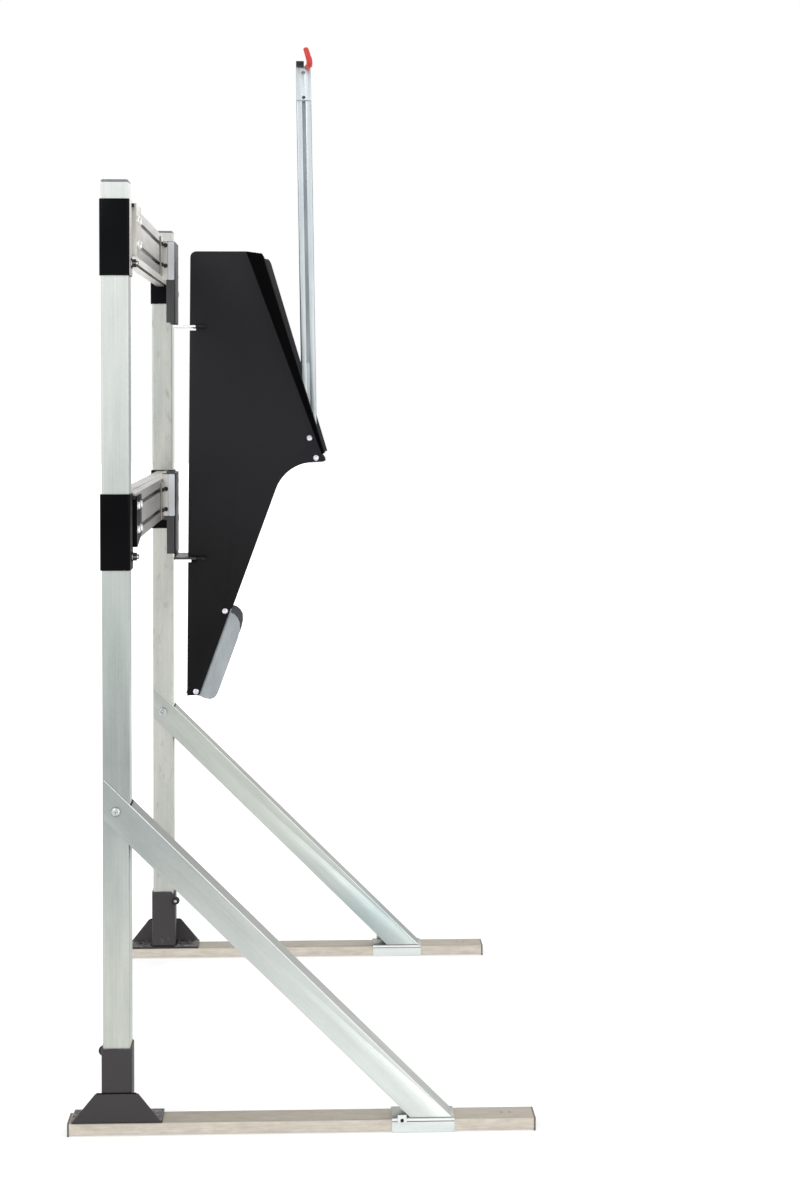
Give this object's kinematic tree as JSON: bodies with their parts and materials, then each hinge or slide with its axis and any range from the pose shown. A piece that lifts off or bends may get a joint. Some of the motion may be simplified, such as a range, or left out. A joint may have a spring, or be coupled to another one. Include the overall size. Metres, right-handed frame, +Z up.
{
  "type": "bike lift",
  "caption": "Vertical bicycle lift: slim folded housing hung on cross rails of a free-standing two-post stand, with a swinging arm and a rim hook",
  "frame": {"origin": "centre of the footprint, on the floor", "axes": "+X from the posts toward the hung bicycle, +Y from the near post to the far post, +Z up"},
  "size_m": [0.778, 1.0622, 1.917],
  "materials": {
    "near_post": "hot-dip galvanised steel, dull spangle",
    "far_post": "hot-dip galvanised steel, dull spangle",
    "near_post_cap": "grey plastic tube cap",
    "far_post_cap": "grey plastic tube cap",
    "near_base_beam": "passivated steel, warm grey",
    "far_base_beam": "passivated steel, warm grey",
    "near_beam_cap_back": "dark grey plastic tube cap",
    "near_beam_cap_front": "dark grey plastic tube cap",
    "far_beam_cap_back": "dark grey plastic tube cap",
    "far_beam_cap_front": "dark grey plastic tube cap",
    "near_foot": "dark grey powder coat, semi-matt",
    "far_foot": "dark grey powder coat, semi-matt",
    "near_foot_screw": "black oxide steel",
    "far_foot_screw": "black oxide steel",
    "near_brace": "galvanised sheet steel",
    "far_brace": "galvanised sheet steel",
    "near_brace_bolt": "bright zinc plated steel",
    "far_brace_bolt": "bright zinc plated steel",
    "near_brace_shoe": "bright zinc plated steel",
    "far_brace_shoe": "bright zinc plated steel",
    "near_shoe_screw": "black oxide steel",
    "far_shoe_screw": "black oxide steel",
    "near_upper_collar": "black powder coat, semi-matt",
    "near_lower_collar": "black powder coat, semi-matt",
    "far_upper_collar": "black powder coat, semi-matt",
    "far_lower_collar": "black powder coat, semi-matt",
    "near_upper_collar_bolt": "black oxide steel",
    "near_lower_collar_bolt": "black oxide steel",
    "far_upper_collar_bolt": "black oxide steel",
    "far_lower_collar_bolt": "black oxide steel",
    "upper_rail": "natural extruded aluminium, satin",
    "lower_rail": "natural extruded aluminium, satin",
    "upper_hanger": "dark grey powder coat",
    "lower_hanger": "dark grey powder coat",
    "upper_clamp_plate": "galvanised sheet steel",
    "lower_clamp_plate": "galvanised sheet steel",
    "upper_lock_screw": "black oxide steel",
    "lower_lock_screw": "black oxide steel",
    "near_side_plate": "black powder coat, satin",
    "far_side_plate": "black powder coat, satin",
    "housing_spine": "black powder coat, satin",
    "near_guide_cheek": "light grey coated sheet steel",
    "far_guide_cheek": "dark grey coated sheet steel",
    "arm_axle": "bright plated steel, domed head",
    "nose_bolt": "bright plated steel, domed head",
    "strut_bolt": "bright plated steel, domed head",
    "bottom_bolt": "bright plated steel, domed head",
    "nose_spacer": "zinc plated steel tube",
    "bottom_spacer": "zinc plated steel tube",
    "near_arm_bush": "natural bearing plastic",
    "far_arm_bush": "natural bearing plastic",
    "arm_root": "galvanised steel, pale blue-grey",
    "arm_channel": "galvanised steel, pale blue-grey",
    "hook_bracket": "galvanised steel, pale blue-grey",
    "rim_hook": "red dip coating over a steel rod, soft gloss",
    "strut_barrel": "black coated steel tube",
    "strut_rod": "hard chromed rod",
    "strut_yoke": "zinc plated steel",
    "pull_band": "zinc plated steel"
  },
  "bodies": {
    "stand": {"near_post": "near_post", "far_post": "far_post", "near_post_cap": "near_post_cap", "far_post_cap": "far_post_cap", "near_base_beam": "near_base_beam", "far_base_beam": "far_base_beam", "near_beam_cap_back": "near_beam_cap_back", "near_beam_cap_front": "near_beam_cap_front", "far_beam_cap_back": "far_beam_cap_back", "far_beam_cap_front": "far_beam_cap_front", "near_foot": "near_foot", "far_foot": "far_foot", "near_foot_screw": "near_foot_screw", "far_foot_screw": "far_foot_screw", "near_brace": "near_brace", "far_brace": "far_brace", "near_brace_bolt": "near_brace_bolt", "far_brace_bolt": "far_brace_bolt", "near_brace_shoe": "near_brace_shoe", "far_brace_shoe": "far_brace_shoe", "near_shoe_screw": "near_shoe_screw", "far_shoe_screw": "far_shoe_screw", "near_upper_collar": "near_upper_collar", "near_lower_collar": "near_lower_collar", "far_upper_collar": "far_upper_collar", "far_lower_collar": "far_lower_collar", "near_upper_collar_bolt": "near_upper_collar_bolt", "near_lower_collar_bolt": "near_lower_collar_bolt", "far_upper_collar_bolt": "far_upper_collar_bolt", "far_lower_collar_bolt": "far_lower_collar_bolt", "upper_rail": "upper_rail", "lower_rail": "lower_rail", "upper_hanger": "upper_hanger", "lower_hanger": "lower_hanger", "upper_clamp_plate": "upper_clamp_plate", "lower_clamp_plate": "lower_clamp_plate", "upper_lock_screw": "upper_lock_screw", "lower_lock_screw": "lower_lock_screw", "near_side_plate": "near_side_plate", "far_side_plate": "far_side_plate", "housing_spine": "housing_spine", "near_guide_cheek": "near_guide_cheek", "far_guide_cheek": "far_guide_cheek", "arm_axle": "arm_axle", "nose_bolt": "nose_bolt", "strut_bolt": "strut_bolt", "bottom_bolt": "bottom_bolt", "nose_spacer": "nose_spacer", "bottom_spacer": "bottom_spacer", "strut_barrel": "strut_barrel"},
    "arm": {"arm_root": "arm_root", "arm_channel": "arm_channel", "hook_bracket": "hook_bracket", "rim_hook": "rim_hook", "near_arm_bush": "near_arm_bush", "far_arm_bush": "far_arm_bush"},
    "strut_pull": {"strut_rod": "strut_rod", "strut_yoke": "strut_yoke", "pull_band": "pull_band"}
  },
  "joints": [
    {"name": "arm_swing", "type": "hinge", "parent": "stand", "child": "arm", "pos_m": [0.0115, 0.15, 1.142], "axis": [0, 1, 0], "range_deg": [0, 120], "stiffness_Nm_per_rad": 8, "springref_deg": -114.59},
    {"name": "strut_slide", "type": "slide", "parent": "stand", "child": "strut_pull", "axis": [0.3147, 0, 0.9492], "range_m": [0, 0.108]}
  ],
  "couplings": [
    {"joint": "strut_slide", "follows": "arm_swing", "m_per_rad": 0.05105}
  ]
}
